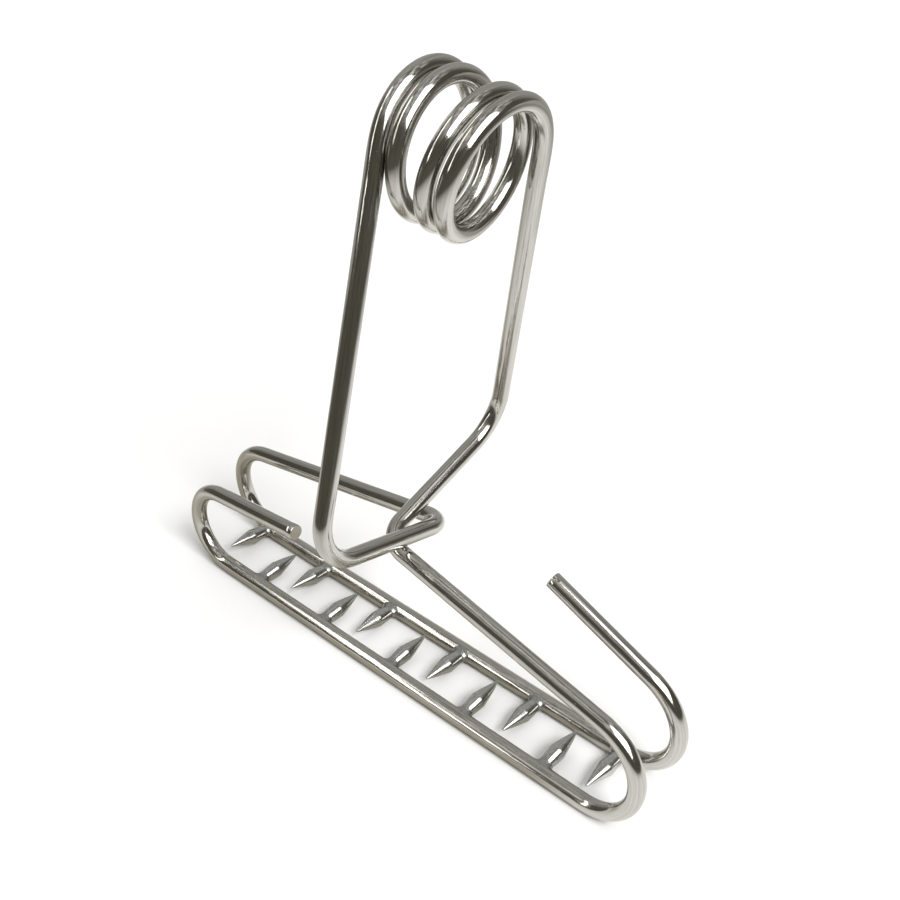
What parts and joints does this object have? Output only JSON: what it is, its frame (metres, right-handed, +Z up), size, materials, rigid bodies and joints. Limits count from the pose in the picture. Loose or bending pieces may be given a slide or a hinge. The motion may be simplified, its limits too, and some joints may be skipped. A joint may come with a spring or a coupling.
{
  "type": "spiked wire spring clamp",
  "caption": "Round-wire spring clamp with a coil, crossed squeeze arms and two long jaws with welded spikes, as used to hang sides of fish or meat.",
  "frame": {"origin": "middle of the bounding box, on the floor under the two rails", "axes": "+Z up through the coil, +X along the jaws and the coil, +Y towards the rear jaw, the way the jaws open"},
  "size_m": [0.1845, 0.085, 0.183],
  "materials": {
    "spring_wire": "polished drawn stainless spring wire",
    "spike_steel": "turned stainless, satin",
    "weld_metal": "small bright-grey weld"
  },
  "bodies": {
    "left_lever": {"left_coil_turns": "spring_wire", "coil_bridge_turn": "spring_wire", "left_arm": "spring_wire", "left_lower_bend": "spring_wire", "left_crossbar": "spring_wire", "rear_corner_bend": "spring_wire", "rear_top_bar": "spring_wire", "rear_left_bend": "spring_wire", "rear_rail": "spring_wire", "rear_right_bend": "spring_wire", "rear_stub": "spring_wire", "rear_spike_1": "spike_steel", "rear_spike_2": "spike_steel", "rear_spike_3": "spike_steel", "rear_spike_4": "spike_steel", "rear_spike_5": "spike_steel", "rear_spike_6": "spike_steel", "rear_weld_1": "weld_metal", "rear_weld_2": "weld_metal", "rear_weld_3": "weld_metal", "rear_weld_4": "weld_metal", "rear_weld_5": "weld_metal", "rear_weld_6": "weld_metal"},
    "right_lever": {"right_coil_turns": "spring_wire", "right_arm": "spring_wire", "right_lower_bend": "spring_wire", "right_crossbar": "spring_wire", "front_corner_bend": "spring_wire", "front_top_bar": "spring_wire", "front_right_bend": "spring_wire", "front_rail": "spring_wire", "front_left_bend": "spring_wire", "front_stub": "spring_wire", "front_spike_1": "spike_steel", "front_spike_2": "spike_steel", "front_spike_3": "spike_steel", "front_spike_4": "spike_steel", "front_spike_5": "spike_steel", "front_weld_1": "weld_metal", "front_weld_2": "weld_metal", "front_weld_3": "weld_metal", "front_weld_4": "weld_metal", "front_weld_5": "weld_metal"}
  },
  "joints": [
    {"name": "coil_spring", "type": "hinge", "parent": "left_lever", "child": "right_lever", "pos_m": [0.00281, 0.01063, 0.16165], "axis": [-1, 0, 0], "range_deg": [0, 15], "stiffness_Nm_per_rad": 13.4, "springref_deg": -9.74, "deforming": ["coil_bridge_turn"]}
  ]
}
